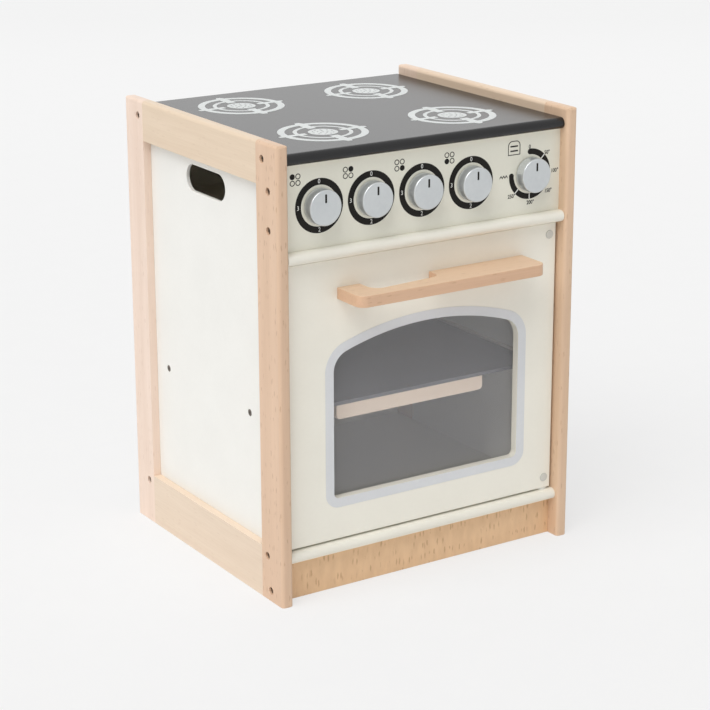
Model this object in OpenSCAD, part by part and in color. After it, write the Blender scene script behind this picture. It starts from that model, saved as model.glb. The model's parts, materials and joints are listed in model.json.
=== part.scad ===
// Wooden play cooker: two beech side frames with boards between them, a hob with
// four printed burners, five dials, and an oven with a side-hung windowed door.
// Millimetres, +Z up, front towards -Y, origin at the middle of the footprint.

/* [Case] */
// Width over the two side frames
case_w = 362; // [330:1:400]
// Depth of the side frames
case_d = 316; // [290:1:350]
// Height of the side frames
case_h = 475; // [430:1:520]
// Thickness of the hob, ceiling, floor, control panel and plinth boards
board_t = 12; // [10:0.5:14]
// Height of the plinth under the oven floor
plinth_h = 42; // [36:1:60]
// Height of the control panel
panel_h = 86; // [78:1:92]
// Height of the side frames above the hob
rim_h = 11; // [6:1:16]
// Setback of the hob nose behind the side frames
hob_setback = 5; // [3:0.5:8]
// Setback of the ceiling board nose
ceiling_setback = 1.5; // [0.5:0.5:6]
// Setback of the floor board nose
floor_setback = 5; // [3:0.5:8]
// Setback of the control panel and of the door
face_setback = 12; // [10:0.5:15]
// Setback of the plinth
plinth_setback = 17; // [15:0.5:22]
// Thickness of the back panel
back_t = 4; // [3:0.5:6]
// Height and depth of the batten that carries the back panel's top edge
batten_size = 14; // [12:1:20]

/* [Side frames] */
// Thickness of the frame timber
frame_t = 13; // [12:0.5:16]
// Width of the upright posts
post_w = 40; // [36:1:48]
// Height of the top rail
top_rail_h = 43; // [38:1:50]
// Height of the bottom rail
bottom_rail_h = 56; // [50:1:64]
// Rounding along the outer edges of the frames
edge_r = 4; // [2:0.5:5.5]
// Thickness of the infill panel
infill_t = 4; // [3:0.5:5]
// Depth of the rebate that takes the infill panel
rebate_w = 6; // [4:0.5:8]
// Length of the hand hole
hand_l = 81; // [70:1:100]
// Height of the hand hole
hand_h = 28; // [24:1:34]
// Height of wood between the top rail and the hand hole
hand_margin = 9; // [6:1:16]
// Diameter of the frame dowels
dowel_d = 6; // [5:0.5:6]
// Length of the frame dowels
dowel_l = 30; // [24:1:34]

/* [Hob and dials] */
// Radius of a printed burner ring
burner_r = 46; // [38:1:52]
// Distance from the side frames to the middles of the burners
burner_side = 89; // [78:1:100]
// Distance from the front of the case to the middles of the front burners
burner_front = 81; // [74:1:90]
// Distance from the back of the case to the middles of the back burners
burner_back = 71; // [64:1:84]
// Thickness of the printed layers
print_t = 0.3; // [0.2:0.1:0.5]
// Gap between the left side frame and the first dial ring
dial_gap_left = 13.8; // [8:0.2:20]
// Gap between neighbouring hob dial rings
dial_gap = 5.6; // [3:0.2:9]
// Gap between the last hob dial ring and the oven dial ring
dial_gap_oven = 19.8; // [12:0.2:28]
// Gap between the oven dial ring and the right side frame
dial_gap_right = 11.6; // [8:0.2:18]
// Width of a printed dial ring
dial_ring_w = 6.6; // [5:0.2:8]
// Gap between a knob and the inside of its ring
knob_gap = 2.8; // [1:0.2:4]
// Height of a knob
knob_h = 12; // [10:0.5:16]
// Diameter of the bolt that a knob turns on
bolt_d = 5; // [4:0.5:6]

/* [Door] */
// Thickness of the door
door_t = 12; // [11:0.5:14]
// Gap beside the door
door_gap = 2; // [1.5:0.5:4]
// Gap above and below the door
door_gap_z = 2; // [1.6:0.2:3]
// Distance from the side frame to the hinge axis
pivot_inset = 11; // [10:0.5:14]
// Diameter of the hinge pins
pin_d = 5; // [4:0.5:6]
// Distance from the left edge of the door to the window
window_left = 54.5; // [44:0.5:64]
// Distance from the right edge of the door to the window
window_right = 47.5; // [44:0.5:60]
// Distance from the oven floor to the window
window_sill = 46; // [40:1:60]
// Distance from the top of the window to the oven ceiling
window_drop = 82; // [76:1:96]
// Radius of the window's arched top
window_arch_r = 312; // [250:1:400]
// Radius of the window's upper corners
window_top_r = 22; // [16:1:30]
// Radius of the window's lower corners
window_low_r = 6; // [4:1:12]
// Width of the painted border round the window
border_w = 10; // [7:0.5:12]
// Thickness of the window pane
pane_t = 3; // [2:0.5:4]
// Overlap of the pane behind the window's edge
pane_lap = 5.5; // [4:0.5:7]

/* [Handle] */
// Distance from the left edge of the door to the handle
handle_left = 59; // [48:1:70]
// Distance from the right edge of the door to the handle
handle_right = 45; // [36:1:56]
// Height of the handle
handle_t = 12; // [10:0.5:15]
// Reach of the handle in front of the door
handle_out = 43; // [38:1:48]
// Distance from the top of the door to the middle of the handle
handle_drop = 35; // [26:1:40]
// Radius of the handle's front corners
handle_r = 10; // [6:1:14]
// Width of the finger recess
recess_l = 83; // [70:1:90]
// Depth of the finger recess
recess_out = 25; // [20:1:27]
// Length of the foot to the left of the finger recess
handle_foot = 27; // [22:1:32]

/* [Shelf] */
// Height of the shelf above the oven floor
shelf_z = 135; // [110:1:160]
// Thickness of the shelf
shelf_t = 4; // [3:0.5:6]
// Distance from the front of the case to the shelf
shelf_setback = 38; // [36:1:44]
// Length of the lip under the shelf's front edge
lip_l = 184; // [150:1:210]
// Height of the lip
lip_h = 15.5; // [12:0.5:20]
// Thickness of the lip
lip_t = 9; // [8:0.5:12]
// Height of the shelf runners
runner_h = 16; // [14:1:20]
// Thickness of the shelf runners
runner_t = 12; // [10:0.5:16]

/* [Hidden] */
$fn = 64;

// Colours
beech = [0.88, 0.74, 0.60];
cream = [0.90, 0.89, 0.82];
hob_black = [0.16, 0.16, 0.17];
print_grey = [0.84, 0.86, 0.85];
ring_black = [0.13, 0.12, 0.11];
knob_silver = [0.72, 0.74, 0.75];
border_silver = [0.80, 0.81, 0.82];
steel = [0.62, 0.62, 0.64];
nylon = [0.93, 0.93, 0.90];
shelf_grey = [0.38, 0.38, 0.39];
pane_tint = [0.75, 0.80, 0.82, 0.35];

// Fits
fit_gap = 0.05;
run_gap = 0.08;
slide_gap = 1;

// Main planes
handle_reach = handle_out - face_setback;
front_y = (handle_reach - case_d) / 2;
back_y = front_y + case_d;
mid_y = (front_y + back_y) / 2;
inner_x = case_w / 2 - frame_t;
inner_w = 2 * inner_x;
hob_top = case_h - rim_h;
hob_z = hob_top - board_t;
panel_z = hob_z - panel_h;
ceiling_z = panel_z - board_t;
floor_z = plinth_h + board_t;
oven_h = ceiling_z - floor_z;
face_y = front_y + face_setback;
opening_low = bottom_rail_h;
opening_high = case_h - top_rail_h;

// Screws: radii and lengths of head and shank
screw_r = 1.9;
screw_head_r = 3.7;
screw_head_h = 2.6;
screw_sink = 5;
screw_bite = 20;
sink_r = screw_head_r + 0.3;
small_r = 1.5;
small_head_r = 3.4;
small_head_h = 1.6;
small_sink = 1.8;
small_bite = 9;
tiny_r = 1.3;
tiny_head_r = 2.8;

// Where the frame screws go in, as distance from the front and height
hob_mid = hob_z + board_t / 2;
floor_mid = plinth_h + board_t / 2;
board_screw_in = 29;
panel_screw_span = 39;
panel_mid = panel_z + panel_h / 2 - 0.5;
plinth_screw_z = 11.5;
frame_screw_sites = [
  [board_screw_in, hob_mid],
  [case_d - board_screw_in, hob_mid],
  [board_screw_in, floor_mid],
  [case_d - board_screw_in, floor_mid],
  [face_setback + board_t / 2, panel_mid + panel_screw_span / 2],
  [face_setback + board_t / 2, panel_mid - panel_screw_span / 2],
  [plinth_setback + board_t / 2, plinth_screw_z]
];

// Frame dowels: heights of the two in each joint
dowel_edge = 7;
dowel_top_z = [case_h - dowel_edge, opening_high + rebate_w + dowel_d / 2 + 2];
dowel_low_z = [plinth_screw_z + sink_r + dowel_d / 2 + 1.5, floor_mid - sink_r - dowel_d / 2 - 2];

// Dials: the room between the side frames, less the gaps, is shared by the five rings
dial_z = panel_mid;
dial_room = inner_w - dial_gap_left - 3 * dial_gap - dial_gap_oven - dial_gap_right;
dial_r = dial_room / 10;
dial_first_x = -inner_x + dial_gap_left + dial_r;
dial_x = [for (i = [0:3]) dial_first_x + i * (2 * dial_r + dial_gap), inner_x - dial_gap_right - dial_r];
oven_ring_in = 0.9;
oven_ring_r = dial_r - oven_ring_in;
oven_ring_w = dial_ring_w * 0.91;
knob_r = dial_r - dial_ring_w - knob_gap;
knob_soft = 1.6;
washer_t = 0.8;
washer_gap = 0.1;
washer_r = 7;
knob_y = face_y - washer_t - 2 * washer_gap;
bolt_grip = knob_h * 0.6;
bolt_head_h = 3;
bolt_head_r = 4.5;
pointer_w = 2.3;
pointer_l = 9;
pointer_tip = knob_r - 4.3;
pointer_deep = 0.6;
tick_w = 1.2;

// Burner print, as parts of the ring radius
burner_x = inner_x - burner_side;
burner_inner = 0.84 * burner_r;
burner_mid_out = 0.66 * burner_r;
burner_mid_in = 0.57 * burner_r;
burner_disc = 0.33 * burner_r;
burner_arm_in = 0.43 * burner_r;
burner_arm_out = 1.11 * burner_r;
burner_arm_w = 7;

// Door
door_w = inner_w - 2 * door_gap;
door_z = floor_z + door_gap_z;
door_h = oven_h - 2 * door_gap_z;
door_edge_r = 2;
pivot_x = inner_x - pivot_inset;
pivot_y = face_y + door_t / 2;
pin_in_board = 9;
pin_in_door = 18;
bush_r = pin_d / 2 + 1.6;
flange_r = 6.5;
flange_t = door_gap_z - 0.2;
pin_screw_r = 2;
pin_screw_drop = 12;
cap_r = 4.6;
cap_sink = 0.8;
cap_proud = 0.5;
window_z = floor_z + window_sill;
window_h = oven_h - window_sill - window_drop;
window_hw = (door_w - window_left - window_right) / 2;
window_x = (window_left - window_right) / 2;
pane_y = face_y + door_t - pane_t;
pane_gap = 0.3;
pane_screw_out = 7.5;
pane_screw_low_x = 0.61 * window_hw;
pane_screw_top_x = 0.52 * window_hw;
pane_screw_z = [window_z + 0.17 * window_h, window_z + 0.65 * window_h];
pane_head_r = 3.8;
pane_head_h = 1.6;
pane_screw_l = 7;

// Handle
handle_z = door_z + door_h - handle_drop;
handle_x0 = -door_w / 2 + handle_left;
handle_l = door_w - handle_left - handle_right;
recess_x0 = handle_x0 + handle_foot;
recess_r1 = 12;
recess_r2 = 9;
recess_slope = 5;
handle_screw_l = 26;
handle_screw_sink = small_sink + 0.6;
handle_screw_in = 18;
handle_screw_x = [handle_x0 + handle_foot / 2, recess_x0 + recess_l + 2 * handle_screw_in,
                  handle_x0 + handle_l - handle_screw_in];

// Catch at the left of the door
catch_w = 24;
catch_d = 14;
catch_h = 14;
catch_in = 18;
catch_x = -inner_x + catch_in;
catch_screw_in = 4.5;
catch_screw_sink = 2;
catch_screw_bite = 7;
catch_y = face_y + door_t + 0.4;
magnet_r = 4;
magnet_l = 6;
magnet_proud = 0.3;
strike_r = 7;
strike_t = 1.2;
strike_screw_l = 6;
strike_head_r = 2.5;
strike_z = ceiling_z - catch_h / 2;

// Shelf and runners
shelf_y = front_y + shelf_setback;
shelf_bottom = floor_z + shelf_z;
shelf_d = case_d - shelf_setback - back_t - 0.5;
runner_guide = 4;
runner_guide_h = shelf_t + 2;
runner_z = shelf_bottom + runner_guide_h - runner_h;
runner_y0 = front_y + post_w;
runner_lap = 10;
runner_l = case_d - 2 * post_w + runner_lap;
runner_screw_in = 36;
runner_screw_y = [runner_y0 + runner_screw_in, runner_y0 + runner_l - runner_screw_in];
runner_screw_z = runner_z + (runner_h - runner_guide_h) * 0.7;
shelf_w = inner_w - 2 * (runner_guide + slide_gap);
lip_corner_r = 5;
lip_screw_in = 18;
lip_screw_bite = 8.5;
lip_screw_l = shelf_t + lip_screw_bite;

// Screws of the ceiling, plinth and back boards, as distance from the side frames
ceiling_screw_in = 50;
plinth_screw_in = 60;
back_screw_in = 20;
back_screw_x = [for (i = [-1.5:1:1.5]) i * (inner_w - 2 * back_screw_in) / 3];
back_screw_r = 1.5;
back_head_r = 3.2;
back_screw_l = 14;

// Extrudes the (y, z) outline in children along +X from x0
module along_x(x0, len) {
  translate([x0, 0, 0]) rotate([90, 0, 90]) linear_extrude(len) children();
}

// Extrudes the (x, z) outline in children along +Y from y0
module along_y(y0, len) {
  translate([0, y0 + len, 0]) rotate([90, 0, 0]) linear_extrude(len) children();
}

// Extrudes the (x, y) outline in children along +Z from z0
module along_z(z0, len) {
  translate([0, 0, z0]) linear_extrude(len) children();
}

// Rectangle from corner a to corner b, with radius r at each corner named in the
// list: "ll", "lr", "ul" and "ur" are lower left to upper right
module soft_rect(a, b, r, corners) {
  spots = [["ll", a[0], a[1], 1, 1], ["lr", b[0], a[1], -1, 1],
           ["ul", a[0], b[1], 1, -1], ["ur", b[0], b[1], -1, -1]];
  difference() {
    translate(a) square([b[0] - a[0], b[1] - a[1]]);
    for (s = spots) if (len([for (c = corners) if (c == s[0]) c]) > 0)
      difference() {
        translate([s[1] + min(0, s[3] * r), s[2] + min(0, s[4] * r)]) square(r);
        translate([s[1] + s[3] * r, s[2] + s[4] * r]) circle(r);
      }
  }
}

// Cylinder of radius r along +X, +Y or +Z from point p
module rod_x(p, r, len) {
  translate(p) rotate([0, 90, 0]) cylinder(r = r, h = len);
}
module rod_y(p, r, len) {
  translate(p) rotate([-90, 0, 0]) cylinder(r = r, h = len);
}
module rod_z(p, r, len) {
  translate(p) cylinder(r = r, h = len);
}

// Pan-head wood screw with its head on top of the plane z = 0, pointing down
module pan_screw(shank_r, head_r, head_h, len) {
  difference() {
    rotate_extrude() polygon([
      [0, head_h], [head_r, head_h], [head_r, 0],
      [shank_r, 0], [shank_r, -len + shank_r], [0.2, -len], [0, -len]
    ]);
    for (a = [0, 90]) rotate(a)
      translate([-head_r * 0.55, -0.4, head_h * 0.45]) cube([head_r * 1.1, 0.8, head_h]);
  }
}

// Flush wood screw with a conical head ending at the plane z = 0, pointing down
module flush_screw(shank_r, head_r, len) {
  difference() {
    rotate_extrude() polygon([[0, 0], [head_r, 0], [shank_r, shank_r - head_r], [shank_r, -len], [0, -len]]);
    for (a = [0, 90]) rotate(a) translate([-head_r * 0.5, -0.35, -0.7]) cube([head_r, 0.7, 1]);
  }
}

// Hole for a flush screw, from the plane z = 0 down
module flush_hole(shank_r, head_r, len) {
  shank = shank_r + fit_gap;
  head = head_r + fit_gap;
  rotate_extrude() polygon([[0, 1], [head, 1], [head, 0], [shank, shank_r - head_r], [shank, -len], [0, -len]]);
}

// Outer block of the left side frame, rounded along the front, back and top edges
module frame_block() {
  x0 = -case_w / 2;
  intersection() {
    along_z(0, case_h) soft_rect([x0, front_y], [x0 + frame_t, back_y], edge_r, ["ll", "lr", "ul", "ur"]);
    along_y(front_y, case_d) soft_rect([x0, 0], [x0 + frame_t, case_h], edge_r, ["ul", "ur"]);
    along_x(x0, frame_t) soft_rect([front_y, 0], [back_y, case_h], edge_r, ["ul", "ur"]);
  }
}

// Space that the left infill panel takes in its rebate, with a gap all round
module infill_space(gap) {
  translate([-inner_x - infill_t, front_y + post_w - rebate_w - gap, opening_low - rebate_w - gap])
    cube([infill_t + gap + 0.01, case_d - 2 * post_w + 2 * (rebate_w + gap),
          opening_high - opening_low + 2 * (rebate_w + gap)]);
}

// Dowels of the left frame, or their holes when gap is above zero
module frame_dowels(gap) {
  x = -case_w / 2 + frame_t / 2;
  for (z = concat(dowel_top_z, dowel_low_z), y = [front_y + post_w, back_y - post_w])
    rod_y([x, y - dowel_l / 2 - gap, z], dowel_d / 2 + gap, dowel_l + 2 * gap);
}

// Counterbored holes through the left frame for its screws
module frame_screw_holes() {
  for (s = frame_screw_sites) {
    rod_x([-case_w / 2 - 1, front_y + s[0], s[1]], sink_r, screw_sink + 1);
    rod_x([-case_w / 2, front_y + s[0], s[1]], screw_r + fit_gap, frame_t + 1);
  }
}

// Pilot holes that the frame screws of both sides bite into
module pilot_holes() {
  bite = screw_bite + fit_gap;
  for (s = frame_screw_sites, side = [-1, 1])
    rod_x([side * (inner_x - bite / 2) - bite / 2 - 0.5, front_y + s[0], s[1]], screw_r + fit_gap, bite + 1);
}

module frame_part(y0, y1, z0, z1) {
  difference() {
    intersection() {
      frame_block();
      translate([-case_w / 2 - 1, y0, z0]) cube([frame_t + 2, y1 - y0, z1 - z0]);
    }
    infill_space(fit_gap);
    frame_dowels(fit_gap);
    frame_screw_holes();
  }
}

module front_post() {
  color(beech) frame_part(front_y, front_y + post_w, 0, case_h);
}

module back_post() {
  color(beech) frame_part(back_y - post_w, back_y, 0, case_h);
}

module top_rail() {
  color(beech) frame_part(front_y + post_w, back_y - post_w, opening_high, case_h);
}

module bottom_rail() {
  color(beech) frame_part(front_y + post_w, back_y - post_w, 0, opening_low);
}

// Outline of the hand hole as (y, z)
module hand_outline() {
  z = opening_high - hand_margin - hand_h / 2;
  half = (hand_l - hand_h) / 2;
  translate([mid_y - half, z]) circle(d = hand_h);
  translate([mid_y + half, z]) circle(d = hand_h);
  translate([mid_y - half, z - hand_h / 2]) square([2 * half, hand_h]);
}

module infill_panel() {
  color(cream) difference() {
    translate([-inner_x - infill_t, front_y + post_w - rebate_w, opening_low - rebate_w])
      cube([infill_t, case_d - 2 * post_w + 2 * rebate_w, opening_high - opening_low + 2 * rebate_w]);
    along_x(-inner_x - infill_t - 1, infill_t + 2) hand_outline();
    for (y = runner_screw_y) {
      rod_x([-inner_x - infill_t - 1, y, runner_screw_z], small_head_r + 0.3, small_sink + 1);
      rod_x([-inner_x - infill_t, y, runner_screw_z], small_r + fit_gap, infill_t + 1);
    }
  }
}

module dowels() {
  color(beech) frame_dowels(0);
}

module frame_screws() {
  color(steel) for (s = frame_screw_sites)
    translate([-case_w / 2 + screw_sink, front_y + s[0], s[1]]) rotate([0, -90, 0])
      pan_screw(screw_r, screw_head_r, screw_head_h, frame_t - screw_sink + screw_bite);
}

// Shelf runner: a stepped strip, its upper part guides the shelf's edge
module runner() {
  color(beech) difference() {
    along_y(runner_y0, runner_l) polygon([
      [-inner_x, runner_z],
      [-inner_x + runner_t, runner_z],
      [-inner_x + runner_t, shelf_bottom],
      [-inner_x + runner_guide, shelf_bottom],
      [-inner_x + runner_guide, shelf_bottom + runner_guide_h],
      [-inner_x, shelf_bottom + runner_guide_h]
    ]);
    for (y = runner_screw_y) rod_x([-inner_x - 1, y, runner_screw_z], small_r + fit_gap, small_bite + 1.2);
  }
}

module runner_screws() {
  color(steel) for (y = runner_screw_y)
    translate([-inner_x - infill_t + small_sink, y, runner_screw_z]) rotate([0, -90, 0])
      pan_screw(small_r, small_head_r, small_head_h, infill_t - small_sink + small_bite);
}

// Board between the side frames with a half-round nose
module nosed_board(setback, z0, back) {
  r = board_t / 2;
  along_x(-inner_x, inner_w) {
    translate([front_y + setback + r, z0 + r]) circle(r);
    translate([front_y + setback + r, z0]) square([back - front_y - setback - r, board_t]);
  }
}

module hob_board() {
  color(hob_black) difference() {
    nosed_board(hob_setback, hob_z, back_y);
    pilot_holes();
  }
}

// Places children at the middle of each burner on top of the hob
module at_burners() {
  for (x = [-burner_x, burner_x], y = [front_y + burner_front, back_y - burner_back])
    translate([x, y, hob_top]) children();
}

module burner_prints() {
  color(print_grey) at_burners() linear_extrude(print_t) {
    difference() {
      circle(burner_r);
      circle(burner_inner);
    }
    difference() {
      circle(burner_mid_out);
      circle(burner_mid_in);
    }
    circle(burner_disc);
    for (a = [0:90:270]) rotate(a)
      translate([burner_arm_in, -burner_arm_w / 2]) square([burner_arm_out - burner_arm_in, burner_arm_w]);
  }
}

module control_panel() {
  color(cream) difference() {
    translate([-inner_x, face_y, panel_z]) cube([inner_w, board_t, hob_z - panel_z]);
    for (x = dial_x) rod_y([x, face_y - 1, dial_z], bolt_d / 2 + run_gap, board_t + 2);
    pilot_holes();
    ceiling_screw_sites() rod_z([0, 0, -fit_gap], screw_r + fit_gap, screw_bite + 2 * fit_gap);
  }
}

module ring_outline(r, w) {
  difference() {
    circle(r);
    circle(r - w);
  }
}

// The oven dial's smaller ring runs from the top, clockwise, to the left, with bare ticks
module oven_ring_outline(r, w) {
  mid_r = r - w / 2;
  difference() {
    union() {
      difference() {
        ring_outline(r, w);
        translate([-r - 1, 0]) square(r + 1);
      }
      translate([0, mid_r]) circle(w / 2);
      translate([-mid_r, 0]) circle(w / 2);
    }
    for (a = [45:45:225]) rotate(90 - a) translate([0, -tick_w / 2]) square([r + 1, tick_w]);
  }
}

module dial_prints() {
  color(ring_black) for (i = [0:4])
    translate([dial_x[i], 0, dial_z]) along_y(face_y - print_t, print_t)
      if (i < 4) ring_outline(dial_r, dial_ring_w); else oven_ring_outline(oven_ring_r, oven_ring_w);
}

// Places children under the control panel's lower edge, along the board
module ceiling_screw_sites() {
  for (x = [-1, 0, 1] * (inner_x - ceiling_screw_in)) translate([x, face_y + board_t / 2, panel_z]) children();
}

module ceiling_board() {
  color(cream) difference() {
    nosed_board(ceiling_setback, ceiling_z, back_y - back_t);
    bush_seat(ceiling_z, 1);
    ceiling_screw_sites() {
      rod_z([0, 0, -board_t - 1], sink_r, screw_sink + 1);
      rod_z([0, 0, -board_t], screw_r + fit_gap, board_t + 1);
    }
    catch_screw_sites() rod_z([0, 0, -1], tiny_r + fit_gap, catch_screw_bite + 2);
    back_screw_sites() flush_hole(back_screw_r, back_head_r, back_screw_l + fit_gap);
  }
}

module ceiling_screws() {
  color(steel) ceiling_screw_sites() translate([0, 0, -board_t + screw_sink]) mirror([0, 0, 1])
    pan_screw(screw_r, screw_head_r, screw_head_h, board_t - screw_sink + screw_bite);
}

module floor_board() {
  color(cream) difference() {
    nosed_board(floor_setback, plinth_h, back_y - back_t);
    bush_seat(floor_z, -1);
    pilot_holes();
    plinth_screw_sites() flush_hole(screw_r, screw_head_r, board_t + 1);
    back_screw_sites() flush_hole(back_screw_r, back_head_r, back_screw_l + fit_gap);
  }
}

// Places children on the oven floor above the plinth
module plinth_screw_sites() {
  y = front_y + plinth_setback + board_t / 2 + 2;
  for (x = [-1, 0, 1] * (inner_x - plinth_screw_in)) translate([x, y, floor_z]) children();
}

module plinth() {
  color(beech) difference() {
    translate([-inner_x, front_y + plinth_setback, 0]) cube([inner_w, board_t, plinth_h]);
    pilot_holes();
    plinth_screw_sites() flush_hole(screw_r, screw_head_r, board_t + screw_bite + fit_gap);
  }
}

module plinth_screws() {
  color(steel) plinth_screw_sites() flush_screw(screw_r, screw_head_r, board_t + screw_bite);
}

// Places children on the outside of the back panel, pointing into the case
module back_screw_sites() {
  for (x = back_screw_x, z = [floor_mid, ceiling_z + board_t / 2, hob_z - batten_size / 2])
    translate([x, back_y, z]) rotate([-90, 0, 0]) children();
}

module back_panel() {
  color(cream) difference() {
    translate([-inner_x, back_y - back_t, plinth_h]) cube([inner_w, back_t, hob_z - plinth_h]);
    back_screw_sites() flush_hole(back_screw_r, back_head_r, back_t + 1);
  }
}

module rear_batten() {
  color(beech) difference() {
    translate([-inner_x, back_y - back_t - batten_size, hob_z - batten_size])
      cube([inner_w, batten_size, batten_size]);
    back_screw_sites() flush_hole(back_screw_r, back_head_r, back_screw_l + fit_gap);
  }
}

module back_panel_screws() {
  color(steel) back_screw_sites() flush_screw(back_screw_r, back_head_r, back_screw_l);
}

// Knob number i: a low round boss with a pointer slot, standing off the panel
module knob(i) {
  color(knob_silver) translate([dial_x[i], knob_y, dial_z]) rotate([90, 0, 0]) difference() {
    rotate_extrude() {
      square([knob_r - knob_soft, knob_h]);
      square([knob_r, knob_h - knob_soft]);
      translate([knob_r - knob_soft, knob_h - knob_soft]) circle(knob_soft);
    }
    translate([0, 0, -1]) cylinder(r = bolt_d / 2, h = bolt_grip + 1);
    translate([-pointer_w / 2, pointer_tip - pointer_l, knob_h - pointer_deep]) cube([pointer_w, pointer_l, 1]);
  }
}

// Bolt of knob number i, screwed into the knob from behind the panel
module dial_bolt(i) {
  y0 = knob_y - bolt_grip;
  head_y = face_y + board_t + washer_t + 2 * washer_gap;
  color(steel) translate([dial_x[i], 0, dial_z]) difference() {
    union() {
      rod_y([0, y0, 0], bolt_d / 2, head_y - y0 + 0.5);
      rod_y([0, head_y, 0], bolt_head_r, bolt_head_h);
    }
    translate([0, head_y + bolt_head_h * 0.4, 0]) rotate([-90, 0, 0])
      cylinder(r = 1.7, h = bolt_head_h, $fn = 6);
  }
}

module dial_washers() {
  color(nylon) for (x = dial_x, y = [face_y - washer_gap - washer_t, face_y + board_t + washer_gap])
    difference() {
      rod_y([x, y, dial_z], washer_r, washer_t);
      rod_y([x, y - 1, dial_z], bolt_d / 2 + run_gap, washer_t + 2);
    }
}

// Window outline as (x, z), grown by g all round: two upright sides, a flat sill
// and an arched top that runs into the upper corners
module window_outline(g) {
  hw = window_hw + g;
  rt = window_top_r + g;
  rl = window_low_r + g;
  ra = window_arch_r + g;
  z0 = window_z - g;
  arch_z = window_z + window_h - window_arch_r;
  corner_x = hw - rt;
  corner_z = arch_z + sqrt((ra - rt) * (ra - rt) - corner_x * corner_x);
  translate([window_x, 0]) union() {
    intersection() {
      translate([0, arch_z]) circle(ra, $fn = 180);
      polygon([[0, arch_z], [2 * corner_x, 2 * corner_z - arch_z], [-2 * corner_x, 2 * corner_z - arch_z]]);
      translate([-hw, corner_z]) square([2 * hw, ra]);
    }
    for (s = [-1, 1]) {
      translate([s * corner_x, corner_z]) circle(rt);
      translate([s * (hw - rl), z0 + rl]) circle(rl);
    }
    translate([-hw, z0 + rl]) square([2 * hw, corner_z - z0 - rl]);
    translate([-hw + rl, z0]) square([2 * (hw - rl), rl + 1]);
  }
}

module door_panel() {
  color(cream) difference() {
    along_z(door_z, door_h)
      soft_rect([-door_w / 2, face_y], [door_w / 2, face_y + door_t], door_edge_r, ["ll", "lr", "ul", "ur"]);
    along_y(face_y - 1, door_t + 2) window_outline(0);
    along_y(pane_y, pane_t + 1) window_outline(pane_lap + pane_gap);
    pane_screw_sites() rod_y([0, -pane_screw_l, 0], tiny_r, pane_screw_l + 1);
    handle_screw_sites() {
      rod_y([0, -handle_screw_sink, 0], small_head_r + 0.3, handle_screw_sink + 1);
      rod_y([0, -door_t - 1, 0], small_r + fit_gap, door_t + 2);
    }
    for (z = [door_z - 1, door_z + door_h - pin_in_door])
      rod_z([pivot_x, pivot_y, z], pin_d / 2, pin_in_door + 1);
    pin_screw_sites() {
      rod_y([0, -1, 0], cap_r + fit_gap, 1 + cap_sink);
      rod_y([0, 0, 0], pin_screw_r, door_t / 2);
    }
    rod_y([catch_x, face_y + door_t - strike_t, strike_z], strike_r + fit_gap, strike_t + 1);
    rod_y([catch_x, face_y + door_t - strike_screw_l, strike_z], tiny_r + fit_gap, strike_screw_l);
  }
}

module window_border() {
  color(border_silver) along_y(face_y - print_t, print_t) difference() {
    window_outline(border_w);
    window_outline(0);
  }
}

module window_pane() {
  color(pane_tint) along_y(pane_y, pane_t) window_outline(pane_lap);
}

// Places children on the back of the door, round the pane
module pane_screw_sites() {
  hw = window_hw + pane_screw_out;
  rise = window_arch_r + pane_screw_out;
  low_z = window_z - pane_screw_out;
  for (s = [-1, 0, 1]) translate([window_x + s * pane_screw_low_x, face_y + door_t, low_z]) children();
  for (s = [-1, 1], z = pane_screw_z) translate([window_x + s * hw, face_y + door_t, z]) children();
  for (x = [-1, 0, 1] * pane_screw_top_x) {
    top_z = window_z + window_h - window_arch_r + sqrt(rise * rise - x * x);
    translate([window_x + x, face_y + door_t, top_z]) children();
  }
}

module pane_screws() {
  color(steel) pane_screw_sites() rotate([-90, 0, 0])
    pan_screw(tiny_r, pane_head_r, pane_head_h, pane_screw_l);
}

// Finger recess of the handle as (x, y), with y counted outwards from the door:
// a round left end, a slightly falling roof and a smaller round right end
module recess_outline() {
  c1 = [recess_x0 + recess_r1, recess_out - recess_r1];
  c2 = [recess_x0 + recess_l - recess_r2, recess_out - recess_slope - recess_r2];
  d = norm(c2 - c1);
  lean = atan2(c2[1] - c1[1], c2[0] - c1[0]);
  a = lean + acos((recess_r1 - recess_r2) / d);
  translate(c1) circle(recess_r1);
  translate(c2) circle(recess_r2);
  polygon([
    [recess_x0, -1],
    [recess_x0, c1[1]],
    c1,
    c1 + recess_r1 * [cos(a), sin(a)],
    c2 + recess_r2 * [cos(a), sin(a)],
    c2,
    [recess_x0 + recess_l, c2[1]],
    [recess_x0 + recess_l, -1]
  ]);
}

module door_handle() {
  color(beech) difference() {
    translate([0, face_y, handle_z - handle_t / 2]) mirror([0, 1, 0]) linear_extrude(handle_t) difference() {
      soft_rect([handle_x0, 0], [handle_x0 + handle_l, handle_out], handle_r, ["ul", "ur"]);
      recess_outline();
    }
    handle_screw_sites() rod_y([0, -door_t - handle_screw_l, 0], small_r + fit_gap, handle_screw_l + 1);
  }
}

// Places children on the back of the door behind the handle
module handle_screw_sites() {
  for (x = handle_screw_x) translate([x, face_y + door_t, handle_z]) children();
}

module handle_screws() {
  color(steel) handle_screw_sites() translate([0, -handle_screw_sink, 0]) rotate([-90, 0, 0])
    pan_screw(small_r, small_head_r, small_head_h, door_t - handle_screw_sink + handle_screw_l - 1);
}

// Seat for a flanged bush in a board face at height z; dir points into the board
module bush_seat(z, dir) {
  depth = pin_in_board + 0.5;
  rod_z([pivot_x, pivot_y, dir > 0 ? z - 0.01 : z - depth], bush_r, depth + 0.01);
}

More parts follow.
